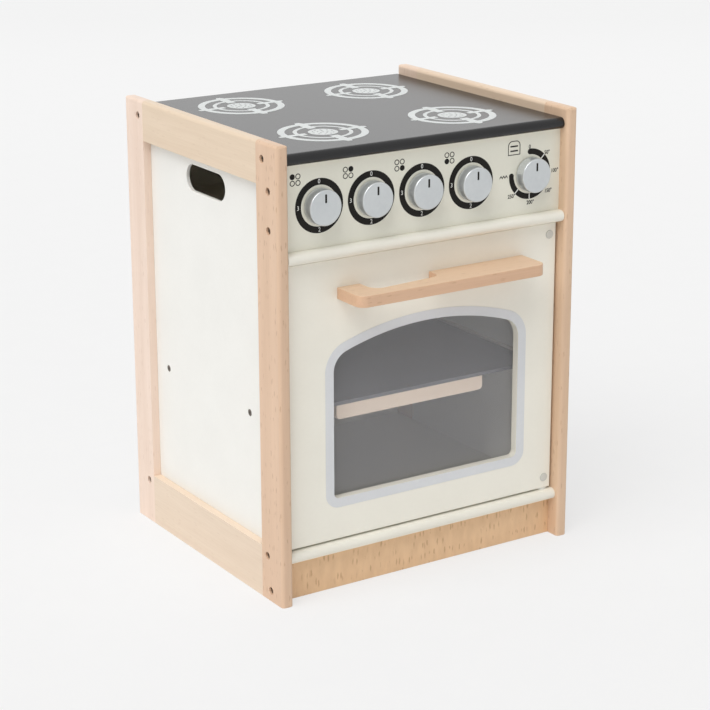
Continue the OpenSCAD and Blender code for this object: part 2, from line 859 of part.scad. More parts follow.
module pivot_bushes() {
  color(nylon) for (spot = [[floor_z, 1], [ceiling_z, -1]]) {
    z = spot[0];
    s = spot[1];
    difference() {
      union() {
        rod_z([pivot_x, pivot_y, s > 0 ? z : z - flange_t], flange_r, flange_t);
        rod_z([pivot_x, pivot_y, s > 0 ? z - pin_in_board : z - 0.5], bush_r, pin_in_board + 0.5);
      }
      rod_z([pivot_x, pivot_y, z - pin_in_board - 1], pin_d / 2 + run_gap, 2 * pin_in_board + 2);
    }
  }
}

module pivot_pins() {
  len = pin_in_board - 0.5 + door_gap_z + pin_in_door - 1.2;
  color(steel) {
    rod_z([pivot_x, pivot_y, floor_z - pin_in_board + 0.5], pin_d / 2, len);
    rod_z([pivot_x, pivot_y, ceiling_z + pin_in_board - 0.5 - len], pin_d / 2, len);
  }
}

// Places children on the door face at the two grub screws that hold the pins
module pin_screw_sites() {
  for (z = [door_z + pin_screw_drop, door_z + door_h - pin_screw_drop])
    translate([pivot_x, face_y, z]) children();
}

module pin_screws() {
  len = door_t / 2 - pin_d / 2 - cap_sink - 0.1;
  color(steel) pin_screw_sites() difference() {
    rod_y([0, cap_sink + 0.05, 0], pin_screw_r, len);
    translate([0, cap_sink, 0]) rotate([-90, 0, 0]) cylinder(r = 1, h = 1, $fn = 6);
  }
}

module pin_caps() {
  color(print_grey) pin_screw_sites() rod_y([0, -cap_proud, 0], cap_r, cap_sink + cap_proud);
}

module strike_plate() {
  y0 = face_y + door_t - strike_t;
  color(steel) difference() {
    rod_y([catch_x, y0, strike_z], strike_r, strike_t);
    translate([catch_x, face_y + door_t, strike_z]) rotate([-90, 0, 0])
      flush_hole(tiny_r, strike_head_r, strike_screw_l);
  }
}

module strike_screw() {
  color(steel) translate([catch_x, face_y + door_t, strike_z]) rotate([-90, 0, 0])
    flush_screw(tiny_r, strike_head_r, strike_screw_l - 0.1);
}

// Places children on the underside of the ceiling board above the catch block
module catch_screw_sites() {
  for (x = [-1, 1] * (catch_w / 2 - catch_screw_in))
    translate([catch_x + x, catch_y + catch_d / 2, ceiling_z]) children();
}

module catch_block() {
  color(beech) difference() {
    translate([catch_x - catch_w / 2, catch_y, ceiling_z - catch_h]) cube([catch_w, catch_d, catch_h]);
    rod_y([catch_x, catch_y - 1, strike_z], magnet_r + fit_gap, magnet_l - magnet_proud + 1);
    catch_screw_sites() {
      rod_z([0, 0, -catch_h - 1], small_head_r, catch_screw_sink + 1);
      rod_z([0, 0, -catch_h], tiny_r + fit_gap, catch_h + 1);
    }
  }
}

module catch_magnet() {
  color(steel) rod_y([catch_x, catch_y - magnet_proud, strike_z], magnet_r, magnet_l - fit_gap);
}

module catch_screws() {
  color(steel) catch_screw_sites() translate([0, 0, -catch_h + catch_screw_sink]) mirror([0, 0, 1])
    pan_screw(tiny_r, tiny_head_r, pane_head_h, catch_h - catch_screw_sink + catch_screw_bite);
}

module shelf_board() {
  color(shelf_grey) difference() {
    translate([-shelf_w / 2, shelf_y, shelf_bottom]) cube([shelf_w, shelf_d, shelf_t]);
    lip_screw_sites() flush_hole(tiny_r, tiny_head_r, shelf_t + 1);
  }
}

module shelf_lip() {
  color(beech) difference() {
    along_y(shelf_y, lip_t)
      soft_rect([-lip_l / 2, shelf_bottom - lip_h], [lip_l / 2, shelf_bottom], lip_corner_r, ["ll", "lr"]);
    lip_screw_sites() flush_hole(tiny_r, tiny_head_r, lip_screw_l + 0.5);
  }
}

// Places children on top of the shelf above the lip
module lip_screw_sites() {
  for (x = [-1, 0, 1] * (lip_l / 2 - lip_screw_in))
    translate([x, shelf_y + lip_t / 2, shelf_bottom + shelf_t]) children();
}

module lip_screws() {
  color(steel) lip_screw_sites() flush_screw(tiny_r, tiny_head_r, lip_screw_l);
}

module right() {
  mirror([1, 0, 0]) children();
}

front_post();  // left_front_post
back_post();  // left_back_post
top_rail();  // left_top_rail
bottom_rail();  // left_bottom_rail
infill_panel();  // left_infill_panel
dowels();  // left_dowels
frame_screws();  // left_frame_screws
runner();  // left_runner
runner_screws();  // left_runner_screws
right() front_post();  // right_front_post
right() back_post();  // right_back_post
right() top_rail();  // right_top_rail
right() bottom_rail();  // right_bottom_rail
right() infill_panel();  // right_infill_panel
right() dowels();  // right_dowels
right() frame_screws();  // right_frame_screws
right() runner();  // right_runner
right() runner_screws();  // right_runner_screws
hob_board();
burner_prints();
control_panel();
dial_prints();
ceiling_board();
floor_board();
plinth();
back_panel();
rear_batten();
back_panel_screws();
ceiling_screws();
plinth_screws();
knob(0);  // knob_1
knob(1);  // knob_2
knob(2);  // knob_3
knob(3);  // knob_4
knob(4);  // knob_5
dial_bolt(0);  // dial_bolt_1
dial_bolt(1);  // dial_bolt_2
dial_bolt(2);  // dial_bolt_3
dial_bolt(3);  // dial_bolt_4
dial_bolt(4);  // dial_bolt_5
dial_washers();
door_panel();
window_border();
window_pane();
pane_screws();
door_handle();
handle_screws();
pivot_pins();
pivot_bushes();
pin_screws();
pin_caps();
strike_plate();
strike_screw();
catch_block();
catch_magnet();
catch_screws();
shelf_board();
shelf_lip();
lip_screws();
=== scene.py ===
"""Looks of a wooden play cooker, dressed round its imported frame.

Metres throughout, +Z up and the front towards -Y, as in the frame.
"""
import json
import logging
import math
from dataclasses import dataclass
from enum import Enum
from typing import Any, Callable, Sequence

import bmesh
import bpy
from mathutils import Matrix, Vector


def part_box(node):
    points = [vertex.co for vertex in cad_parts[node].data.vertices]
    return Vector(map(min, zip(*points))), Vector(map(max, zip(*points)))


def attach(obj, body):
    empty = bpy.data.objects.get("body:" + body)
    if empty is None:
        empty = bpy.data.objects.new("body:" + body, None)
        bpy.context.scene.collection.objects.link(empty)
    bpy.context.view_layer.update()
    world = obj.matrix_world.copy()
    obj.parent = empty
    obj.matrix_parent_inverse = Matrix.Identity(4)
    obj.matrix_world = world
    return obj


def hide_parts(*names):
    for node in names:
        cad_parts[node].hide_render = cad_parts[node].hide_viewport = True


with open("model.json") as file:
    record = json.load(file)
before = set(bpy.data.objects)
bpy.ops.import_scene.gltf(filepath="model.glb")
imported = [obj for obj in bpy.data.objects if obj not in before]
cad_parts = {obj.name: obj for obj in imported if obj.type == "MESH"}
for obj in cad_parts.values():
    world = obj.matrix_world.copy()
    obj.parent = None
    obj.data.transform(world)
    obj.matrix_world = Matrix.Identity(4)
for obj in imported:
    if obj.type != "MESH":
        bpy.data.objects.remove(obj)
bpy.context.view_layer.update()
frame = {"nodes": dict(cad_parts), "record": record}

MM = 0.001
FACES_ALONG = 0.9    # least part of a face's normal that counts as facing one way
VECTOR, NUMBER, COLOUR = "NodeSocketVector", "NodeSocketFloat", "NodeSocketColor"
LOG = logging.getLogger("play_cooker")

Colour = tuple[float, float, float, float]
Point = tuple[float, float]
Outline = list[Point]
Piece = bpy.types.Object
Node = bpy.types.Node
Socket = bpy.types.NodeSocket


def srgb(red: int, green: int, blue: int) -> Colour:
    """Turns a colour as seen on a screen into the linear one a shader takes.

    Args:
        red: Red, 0 to 255.
        green: Green, 0 to 255.
        blue: Blue, 0 to 255.

    Returns:
        The linear colour with full alpha.
    """
    def linear(channel: int) -> float:
        """Undoes the screen's curve for one channel."""
        share = channel / 255
        return share / 12.92 if share <= 0.04045 else ((share + 0.055) / 1.055) ** 2.4

    return linear(red), linear(green), linear(blue), 1.0


def scaled(colour: Colour, factors: Sequence[float]) -> Colour:
    """Returns a colour with each channel times its own factor."""
    return colour[0] * factors[0], colour[1] * factors[1], colour[2] * factors[2], 1.0


class Grain(Enum):
    """Which way a board's grain runs, as the turn that lays it along X."""

    ALONG_X = (0.0, 0.0, 0.0)
    ALONG_Y = (0.0, 0.0, 90.0)
    ALONG_Z = (0.0, 90.0, 0.0)


class Facing(Enum):
    """Which way a printed layer faces, as the turn that lays it there."""

    FRONT = (90.0, 0.0, 0.0)
    UP = (0.0, 0.0, 0.0)


class NodeDesk:
    """Places shader nodes in one tree and joins them."""

    def __init__(self, tree: bpy.types.NodeTree) -> None:
        """Keeps the tree to work in."""
        self.tree = tree

    def add(self, kind: str, inputs: dict[str | int, Any] | None = None,
            **settings: Any) -> Node:
        """Adds a node.

        Args:
            kind: Type of the node.
            inputs: Sockets to join, or plain values, by input name or number.
            **settings: Properties of the node itself.

        Returns:
            The new node.
        """
        node = self.tree.nodes.new(kind)
        for name, value in settings.items():
            setattr(node, name, value)
        for name, value in (inputs or {}).items():
            if isinstance(value, Socket):
                self.tree.links.new(value, node.inputs[name])
            else:
                node.inputs[name].default_value = value
        return node

    def math(self, operation: str, first: Any, second: Any, clamp: bool = False) -> Socket:
        """Adds a math node of two terms and returns its output."""
        return self.add("ShaderNodeMath", {0: first, 1: second}, operation=operation,
                        use_clamp=clamp).outputs[0]

    def mean_of(self, first: Any, second: Any, share: Any) -> Socket:
        """Mixes two values, the second by its share, and returns the result."""
        return self.add("ShaderNodeMix", {0: share, 2: first, 3: second}).outputs[0]

    def ramp(self, value: Socket, low: Any, high: Any) -> Socket:
        """Stretches a value so that low becomes 0 and high becomes 1.

        Args:
            value: The socket to stretch.
            low: The value or socket that becomes 0.
            high: The value or socket that becomes 1.

        Returns:
            The stretched value, clamped.
        """
        ends = {"Value": value, "From Min": low, "From Max": high}
        return self.add("ShaderNodeMapRange", ends).outputs[0]

    def blend(self, share: Any, first: Any, second: Any) -> Socket:
        """Mixes two colours by share and returns the result."""
        return self.add("ShaderNodeMix", {0: share, 6: first, 7: second}, data_type="RGBA").outputs[2]

    def noise(self, place: Socket, scale: Any, detail: float) -> Socket:
        """Adds a noise texture and returns its value."""
        terms = {"Vector": place, "Scale": scale, "Detail": detail}
        return self.add("ShaderNodeTexNoise", terms).outputs[0]

    def stretch(self, place: Socket, scale: Sequence[float]) -> Socket:
        """Scales a place along each axis and returns it."""
        return self.add("ShaderNodeVectorMath", {0: place, 1: scale}, operation="MULTIPLY").outputs[0]

    def cross(self, share: Socket, first: Node, second: Node) -> Socket:
        """Mixes two shaders by share and returns the result."""
        shaders = {0: share, 1: first.outputs[0], 2: second.outputs[0]}
        return self.add("ShaderNodeMixShader", shaders).outputs[0]

    def effect(self, name: str, **inputs: Any) -> Node:
        """Adds a shared effect with its inputs, a space in a name written as an underscore."""
        given = {key.replace("_", " "): value for key, value in inputs.items()}
        return self.add("ShaderNodeGroup", given, node_tree=bpy.data.node_groups[name])


class EffectGroup:
    """A shader effect that several finishes share."""

    def __init__(self, name: str, inputs: dict[str, str], outputs: dict[str, str]) -> None:
        """Makes the group with its sockets.

        Args:
            name: Name of the group.
            inputs: Socket type by input name.
            outputs: Socket type by output name.
        """
        self.tree = bpy.data.node_groups.new(name, "ShaderNodeTree")
        for side, sockets in (("INPUT", inputs), ("OUTPUT", outputs)):
            for socket, kind in sockets.items():
                self.tree.interface.new_socket(socket, in_out=side, socket_type=kind)
        self.desk = NodeDesk(self.tree)
        self.entry = self.desk.add("NodeGroupInput")
        self.exit = self.desk.add("NodeGroupOutput")

    def put_out(self, **values: Socket) -> None:
        """Joins each value to the output of that name."""
        for name, value in values.items():
            self.tree.links.new(value, self.exit.inputs[name])


@dataclass(frozen=True)
class Streaks:
    """Noise drawn out along the grain: how far, how fine and how detailed."""

    along: float
    scale: float
    detail: float

    def add(self, desk: NodeDesk, place: Socket) -> Socket:
        """Adds the noise and returns its value."""
        return desk.noise(desk.stretch(place, (self.along, 1, 1)), self.scale, self.detail)


@dataclass(frozen=True)
class BeechGrain:
    """The grain of beech: soft bands, fine streaks and short dark flecks."""

    band: Streaks = Streaks(0.06, 75, 3)
    mottle: Streaks = Streaks(0.35, 120, 4)
    streak: Streaks = Streaks(0.025, 850, 2)
    fine_share: float = 0.38
    tone_range: tuple[float, float] = (0.34, 0.68)
    sway_scale: float = 260.0
    sway: float = 1.5 * MM
    fleck_along: float = 0.24
    fleck_scale: float = 330.0
    picked: tuple[float, float] = (0.50, 0.75)

    def make(self) -> None:
        """Makes the group, whose grain runs along the X of its Vector."""
        group = EffectGroup(
            "beech_grain",
            {"Vector": VECTOR, "Light": COLOUR, "Dark": COLOUR, "Fleck": COLOUR, "Flecks": NUMBER,
             "Fleck Size": NUMBER, "Streaks": NUMBER},
            {"Color": COLOUR, "Height": NUMBER})
        desk, given = group.desk, group.entry.outputs
        place, share = given["Vector"], given["Streaks"]
        band, mottle, streak = (layer.add(desk, place) for layer in (self.band, self.mottle, self.streak))
        cloud = desk.mean_of(mottle, band, share)
        fine = desk.mean_of(mottle, streak, share)
        tone = desk.mean_of(cloud, fine, self.fine_share)
        wood = desk.blend(desk.ramp(tone, *self.tone_range), given["Light"], given["Dark"])
        strength = self.flecks(desk, given)
        group.put_out(Color=desk.blend(strength, wood, given["Fleck"]),
                      Height=desk.math("SUBTRACT", streak, strength))

    def flecks(self, desk: NodeDesk, given: bpy.types.NodeOutputs) -> Socket:
        """Scatters short flecks along the grain.

        Args:
            desk: The group's desk.
            given: What the group is given.

        Returns:
            How strongly a fleck shows, 0 between them.
        """
        place, size = given["Vector"], given["Fleck Size"]
        bend = desk.add("ShaderNodeTexNoise", {"Vector": place, "Scale": self.sway_scale, "Detail": 1.0})
        sway = desk.stretch(bend.outputs["Color"], (self.sway, self.sway, self.sway))
        bent = desk.add("ShaderNodeVectorMath", {0: place, 1: sway}, operation="ADD").outputs[0]
        cells = desk.add("ShaderNodeTexVoronoi", {"Vector": desk.stretch(bent, (self.fleck_along, 1, 1)),
                                                  "Scale": self.fleck_scale})
        shape = desk.ramp(cells.outputs["Distance"], desk.math("MULTIPLY", size, 2.0), size)
        chance = desk.add("ShaderNodeSeparateColor", {0: cells.outputs["Color"]})
        fleck = desk.math("MULTIPLY", shape, desk.ramp(chance.outputs[0], *self.picked))
        return desk.math("MULTIPLY", fleck, given["Flecks"], clamp=True)


@dataclass(frozen=True)
class PaintSkin:
    """Sprayed paint: a faint unevenness of tone over a fine orange peel."""

    cloud_scale: float = 22.0
    speck_scale: float = 260.0
    speck_share: float = 0.3
    tone_range: tuple[float, float] = (0.35, 0.65)

    def make(self) -> None:
        """Makes the group."""
        group = EffectGroup(
            "paint_skin", {"Vector": VECTOR, "Light": COLOUR, "Dark": COLOUR, "Peel": NUMBER},
            {"Color": COLOUR, "Height": NUMBER})
        desk, given = group.desk, group.entry.outputs
        cloud = desk.noise(given["Vector"], self.cloud_scale, 3)
        speck = desk.noise(given["Vector"], self.speck_scale, 2)
        tone = desk.math("ADD", desk.math("MULTIPLY", cloud, 1 - self.speck_share),
                         desk.math("MULTIPLY", speck, self.speck_share))
        group.put_out(Color=desk.blend(desk.ramp(tone, *self.tone_range), given["Light"], given["Dark"]),
                      Height=desk.noise(given["Vector"], given["Peel"], 1))


def rays_to_the_eye(desk: NodeDesk) -> Socket:
    """Returns 1 for the rays that show a surface straight, mirrored or through a pane."""
    path = desk.add("ShaderNodeLightPath")
    seen = desk.math("MAXIMUM", path.outputs["Is Camera Ray"], path.outputs["Is Glossy Ray"])
    return desk.math("MAXIMUM", seen, path.outputs["Is Transmission Ray"])


@dataclass(frozen=True)
class Finish:
    """What every finish has: a name and how rough its surface is."""

    name: str
    roughness: float = 0.45

    def lay(self, desk: NodeDesk, shader: Node, place: Socket) -> None:
        """Joins the finish's own nodes to the shader."""

    def material(self) -> bpy.types.Material:
        """Makes the material, or returns the one made before.

        Returns:
            The material.
        """
        found = bpy.data.materials.get(self.name)
        if found:
            return found
        made = bpy.data.materials.new(self.name)
        made.use_nodes = True
        made.node_tree.nodes.clear()
        desk = NodeDesk(made.node_tree)
        shader = desk.add("ShaderNodeBsdfPrincipled", {"Roughness": self.roughness})
        place = desk.add("ShaderNodeTexCoord").outputs["Object"]
        self.lay(desk, shader, place)
        desk.add("ShaderNodeOutputMaterial", {"Surface": self.surface(desk, shader)})
        return made

    def surface(self, desk: NodeDesk, shader: Node) -> Socket:
        """Returns the closure that the material shows."""
        return shader.outputs[0]

    @staticmethod
    def wear(desk: NodeDesk, shader: Node, effect: Node, depth: float = 0.0) -> None:
        """Gives the shader an effect's colour and, with a depth, its relief.

        Args:
            desk: The tree to work in.
            shader: The material's shader.
            effect: The effect, with a Color and a Height.
            depth: How far the highest point stands up, in metres.
        """
        desk.tree.links.new(effect.outputs["Color"], shader.inputs["Base Color"])
        if depth:
            relief = desk.add("ShaderNodeBump", {"Height": effect.outputs["Height"], "Distance": depth,
                                                 "Strength": 1.0})
            desk.tree.links.new(relief.outputs[0], shader.inputs["Normal"])


@dataclass(frozen=True)
class Beech(Finish):
    """Lacquered beech with its grain along one axis."""

    grain: Grain = Grain.ALONG_Z
    start: tuple[float, float, float] = (0.0, 0.0, 0.0)
    tone: Colour = srgb(223, 191, 163)
    flecks: float = 0.35
    fleck_size: float = 0.16
    streaks: float = 1.0
    lighter: tuple[float, float, float] = (1.045, 1.055, 1.065)
    darker: tuple[float, float, float] = (0.95, 0.93, 0.91)
    fleck_tone: tuple[float, float, float] = (0.60, 0.48, 0.38)
    depth: float = 0.04 * MM

    def lay(self, desk: NodeDesk, shader: Node, place: Socket) -> None:
        """Joins the grain to the shader."""
        turn = tuple(math.radians(angle) for angle in self.grain.value)
        laid = desk.add("ShaderNodeMapping", {"Vector": place, "Location": self.start, "Rotation": turn})
        grain = desk.effect(
            "beech_grain", Vector=laid.outputs[0], Light=scaled(self.tone, self.lighter),
            Dark=scaled(self.tone, self.darker), Fleck=scaled(self.tone, self.fleck_tone),
            Flecks=self.flecks, Fleck_Size=self.fleck_size, Streaks=self.streaks)
        self.wear(desk, shader, grain, self.depth)


@dataclass(frozen=True)
class Paint(Finish):
    """Sprayed satin paint or moulded plastic."""

    light: Colour = srgb(238, 237, 229)
    dark: Colour = srgb(235, 233, 224)
    peel: float = 900.0
    peel_depth: float = 0.03 * MM
    specular: float = 0.5

    def lay(self, desk: NodeDesk, shader: Node, place: Socket) -> None:
        """Joins the paint's skin to the shader."""
        skin = desk.effect("paint_skin", Vector=place, Light=self.light, Dark=self.dark, Peel=self.peel)
        shader.inputs["Specular IOR Level"].default_value = self.specular
        self.wear(desk, shader, skin, self.peel_depth)


@dataclass(frozen=True)
class Ink(Paint):
    """Thin printed ink, smoother than paint."""

    peel: float = 800.0
    peel_depth: float = 0.01 * MM


@dataclass(frozen=True)
class Metal(Paint):
    """Plated metal or silver lacquer with a faint sparkle."""

    peel: float = 1500.0
    peel_depth: float = 0.012 * MM
    metallic: float = 1.0

    def lay(self, desk: NodeDesk, shader: Node, place: Socket) -> None:
        """Joins the sparkle to the shader."""
        super().lay(desk, shader, place)
        shader.inputs["Metallic"].default_value = self.metallic


@dataclass(frozen=True)
class ClearPane(Paint):
    """Clear acrylic, faintly smoked, that lets the light into the oven; its near-white colour, shown at a
    low alpha, paints the room's reflection as a haze.
    """

    peel_depth: float = 0.0
    alpha: float = 0.11

    def lay(self, desk: NodeDesk, shader: Node, place: Socket) -> None:
        """Joins the haze, a painted reflection, to the shader."""
        super().lay(desk, shader, place)
        shader.inputs["Alpha"].default_value = self.alpha


@dataclass(frozen=True)
class FloorPaper(Paint):
    """Matt white paper whose shadows stay faint to the eye."""

    peel_depth: float = 0.0
    glow: float = 0.90
    glow_share: float = 0.7

    def surface(self, desk: NodeDesk, shader: Node) -> Socket:
        """Mixes an even glow into the paper for the rays that reach the eye."""
        glow = desk.add("ShaderNodeEmission", {"Color": (1, 1, 1, 1), "Strength": self.glow})
        share = desk.math("MULTIPLY", rays_to_the_eye(desk), self.glow_share)
        return desk.cross(share, shader, glow)


class Palette:
    """Every finish of the cooker, by the frame's slot or by its own name."""

    CREAM = Paint("satin_cream", 0.38, srgb(247, 244, 232), srgb(244, 241, 229))
    # Painted shade: the ceiling and floor boards, seen by their rounded noses, get a darker copy of the
    # cream paint.
    NOSE_CREAM = Paint("satin_cream_painted_shade_nose", 0.38, srgb(242, 239, 227), srgb(239, 236, 224))
    # Painted shade: the control panel, recessed under the hob's nose, gets a darker copy of the cream
    # paint.
    PANEL_CREAM = Paint("satin_cream_painted_shade_panel", 0.40, srgb(235, 233, 219), srgb(232, 230, 216))
    # Painted light: the side panels get a whiter, cooler copy of the cream paint, standing in for the white
    # sheen of the lit side.
    SIDE_CREAM = Paint("satin_cream_painted_light_side", 0.42, srgb(241, 240, 235), srgb(238, 237, 232))
    HOB = Paint("satin_black", 0.27, srgb(14, 14, 16), srgb(10, 10, 12), 700.0, 0.01 * MM)
    PRIMER = Paint("pale_primer", 0.7, srgb(236, 226, 210), srgb(228, 216, 198), 300.0)
    SLATE = Paint("satin_slate", 0.45, srgb(96, 97, 101), srgb(86, 87, 91), 500.0)
    PALE_INK = Ink("pale_ink", 0.40, srgb(216, 220, 219), srgb(208, 212, 211))
    DARK_INK = Ink("dark_ink", 0.45, srgb(34, 31, 28), srgb(28, 26, 24), specular=0.15)
    WHITE_INK = Ink("white_ink", 0.40, srgb(240, 240, 236), srgb(234, 234, 230))
    BORDER_INK = Ink("border_ink", 0.35, srgb(224, 226, 228), srgb(219, 221, 224))
    SILVER = Metal("silver_lacquer", 0.30, srgb(209, 213, 214), srgb(201, 205, 207), metallic=0.6)
    NYLON = Paint("white_nylon", 0.45, srgb(236, 236, 230), srgb(230, 230, 224), 600.0, 0.02 * MM)
    CAP = Paint("moulded_cap", 0.40, srgb(216, 215, 207), srgb(206, 205, 197), 600.0, 0.02 * MM)
    STEEL = Metal("plated_steel", 0.38, srgb(132, 124, 116), srgb(108, 100, 92))
    MAGNET = Metal("plated_magnet", 0.25, srgb(205, 206, 210), srgb(196, 197, 201))
    # Painted reflection: the pane's near-white colour, at its low alpha, stands in for the bright room
    # mirrored in it.
    PANE = ClearPane("acrylic_pane_painted_reflection", 0.06, srgb(250, 250, 255), srgb(246, 246, 251))
    BEECH = Beech("lacquered_beech")
    BY_SLOT = {
        "cream_paint": CREAM, "hob_paint": HOB, "slate_paint": SLATE, "pale_print": PALE_INK,
        "dark_print": DARK_INK, "silver_print": BORDER_INK, "silver_plastic": SILVER, "nylon": NYLON,
        "cap_plastic": CAP, "clear_pane": PANE, "steel": STEEL, "magnet": MAGNET, "beech": BEECH}


class Bench:
    """The steps at the bench that every piece goes through.

    MERGE and SLIVER are the lengths under which corners merge and edges are dropped. FLAT is the
    angle up to which faces are made one, and SHARP the one from which an edge is rounded.
    """

    MERGE = 0.004 * MM
    SLIVER = 0.002 * MM
    FLAT = math.radians(0.4)
    SHARP = math.radians(35.0)

    @staticmethod
    def take(piece: Piece) -> None:
        """Makes one piece the only selected and the active one."""
        bpy.ops.object.select_all(action="DESELECT")
        piece.select_set(True)
        bpy.context.view_layer.objects.active = piece

    @staticmethod
    def settle(piece: Piece, name: str) -> Piece:
        """Puts a piece's place, turn and size into its mesh and names it."""
        Bench.take(piece)
        bpy.ops.object.transform_apply(location=True, rotation=True, scale=True)
        piece.name = name
        piece.data.name = name
        return piece

    @staticmethod
    def block(name: str, low: Vector, high: Vector) -> Piece:
        """Adds a block between two corners."""
        bpy.ops.object.select_all(action="DESELECT")
        bpy.ops.mesh.primitive_cube_add(size=1, location=(low + high) / 2, scale=high - low)
        return Bench.settle(bpy.context.active_object, name)

    @staticmethod
    def drum(name: str, centre: Sequence[float], radius: float, depth: float, sides: int = 96) -> Piece:
        """Adds a cylinder whose axis runs front to back."""
        bpy.ops.object.select_all(action="DESELECT")
        bpy.ops.mesh.primitive_cylinder_add(
            vertices=sides, radius=radius, depth=depth, location=centre, rotation=(math.pi / 2, 0, 0))
        return Bench.settle(bpy.context.active_object, name)

    @staticmethod
    def apply(piece: Piece, kind: str, **settings: Any) -> None:
        """Adds a modifier with its settings and applies it."""
        Bench.take(piece)
        modifier = piece.modifiers.new(kind.lower(), kind)
        for name, value in settings.items():
            setattr(modifier, name, value)
        bpy.ops.object.modifier_apply(modifier=modifier.name)

    @staticmethod
    def soften(piece: Piece, width: float, segments: int) -> None:
        """Rounds every sharp edge within the piece's own box and shades it smooth.

        Args:
            piece: The piece.
            width: Width of the rounding.
            segments: Steps in the rounding.
        """
        corners = [Vector(corner) for corner in piece.bound_box]
        low = [min(corner[axis] for corner in corners) for axis in range(3)]
        high = [max(corner[axis] for corner in corners) for axis in range(3)]
        Bench.apply(piece, "BEVEL", width=width, segments=segments, limit_method="ANGLE",
                    angle_limit=Bench.SHARP, use_clamp_overlap=False)
        for vertex in piece.data.vertices:
            vertex.co = [min(max(place, low[axis]), high[axis]) for axis, place in enumerate(vertex.co)]
        with EditMode(piece):
            bpy.ops.mesh.select_all(action="SELECT")
            bpy.ops.mesh.dissolve_degenerate(threshold=Bench.SLIVER)
            bpy.ops.mesh.select_all(action="SELECT")
            bpy.ops.mesh.vert_connect_concave()
        Bench.smooth(piece)

    @staticmethod
    def smooth(piece: Piece, angle: float = 40.0) -> None:
        """Shades a piece smooth, but for its sharp edges."""
        Bench.take(piece)
        bpy.ops.object.shade_smooth_by_angle(angle=math.radians(angle))
        Bench.apply(piece, "WEIGHTED_NORMAL", keep_sharp=True)

    @staticmethod
    def cut(piece: Piece, cutter: Piece) -> None:
        """Cuts a cutter's shape out of a piece and clears the cutter away."""
        Bench.apply(piece, "BOOLEAN", operation="DIFFERENCE", object=cutter, solver="EXACT")
        bpy.data.objects.remove(cutter)

    @staticmethod
    def join(parts: Sequence[Piece], name: str) -> Piece:
        """Joins several parts into one piece."""
        Bench.take(parts[0])
        for part in parts:
            part.select_set(True)
        bpy.ops.object.join()
        return Bench.settle(bpy.context.active_object, name)

    @staticmethod
    def copy(piece: Piece, name: str, shift: Sequence[float] = (0.0, 0.0, 0.0)) -> Piece:
        """Copies a piece with its own mesh, moved by a shift."""
        twin = bpy.data.objects.new(name, piece.data.copy())
        twin.data.transform(Matrix.Translation(shift))
        link(twin)
        return twin

    @staticmethod
    def dress(piece: Piece, finish: Finish, body: str, slot: str, *nodes: str) -> Piece:
        """Gives a piece its finish, its body and what it stands for.

        Args:
            piece: The piece.
            finish: Its finish.
            body: The body it rides on.
            slot: The frame's material slot it belongs to; not used.
            *nodes: The frame's nodes it replaces.

        Returns:
            The piece.
        """
        piece.data.materials.clear()
        piece.data.materials.append(finish.material())
        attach(piece, body)
        if nodes:
            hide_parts(*nodes)
        LOG.info("%s rides on %s", piece.name, body)
        return piece

    @staticmethod
    def eased(node: str, name: str, edge: float, finish: Finish, body: str, slot: str,
              segments: int = 3) -> Piece:
        """Makes a frame solid anew as a clean mesh with eased edges and its finish.

        Args:
            node: The solid's node.
            name: Name of the new piece.
            edge: Width of the easing.
            finish: Its finish.
            body: The body it rides on.
            slot: The frame's material slot it belongs to.
            segments: Steps in the easing.

        Returns:
            The piece.
        """
        piece = Bench.copy(frame["nodes"][node], name)
        with EditMode(piece):
            bpy.ops.mesh.select_all(action="SELECT")
            bpy.ops.mesh.customdata_custom_splitnormals_clear()
            bpy.ops.mesh.remove_doubles(threshold=Bench.MERGE)
            bpy.ops.mesh.dissolve_limited(angle_limit=Bench.FLAT)
        Bench.soften(piece, edge, segments)
        return Bench.dress(piece, finish, body, slot, node)

    @staticmethod
    def face_finish(piece: Piece, finish: Finish, wanted: Callable[[bpy.types.MeshPolygon], bool]) -> None:
        """Gives the faces of a piece that pass a test a second finish."""
        piece.data.materials.append(finish.material())
        for face in piece.data.polygons:
            face.material_index = int(wanted(face))


class EditMode:
    """Opens a piece in edit mode for a while."""

    def __init__(self, piece: Piece) -> None:
        """Keeps the piece to open."""
        self.piece = piece

    def __enter__(self) -> "EditMode":
        """Opens the piece with nothing selected."""
        Bench.take(self.piece)
        bpy.ops.object.mode_set(mode="EDIT")
        bpy.ops.mesh.select_mode(type="FACE")
        bpy.ops.mesh.select_all(action="DESELECT")
        return self

    def __exit__(self, *problem: object) -> None:
        """Closes the piece."""
        bpy.ops.object.mode_set(mode="OBJECT")

    def pick(self, wanted: Callable[[bmesh.types.BMFace], bool]) -> None:
        """Selects the faces that pass a test, and no others."""
        bpy.ops.mesh.select_all(action="DESELECT")
        mesh = bmesh.from_edit_mesh(self.piece.data)
        for face in mesh.faces:
            face.select_set(wanted(face))
        bmesh.update_edit_mesh(self.piece.data)


def link(thing: Piece) -> None:
    """Puts a new object into the scene."""
    bpy.context.scene.collection.objects.link(thing)


def centre_of(node: str) -> Vector:
    """Returns the middle of a frame node's box."""
    low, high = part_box(node)
    return (low + high) / 2


def ring_points(centre: Point, radius: float, sides: int = 96) -> Outline:
    """Returns the points of a circle."""
    turns = [2 * math.pi * step / sides for step in range(sides)]
    return [(centre[0] + radius * math.cos(a), centre[1] + radius * math.sin(a)) for a in turns]


def bar_points(low: Point, high: Point) -> Outline:
    """Returns the corners of a rectangle."""
    return [low, (high[0], low[1]), high, (low[0], high[1])]


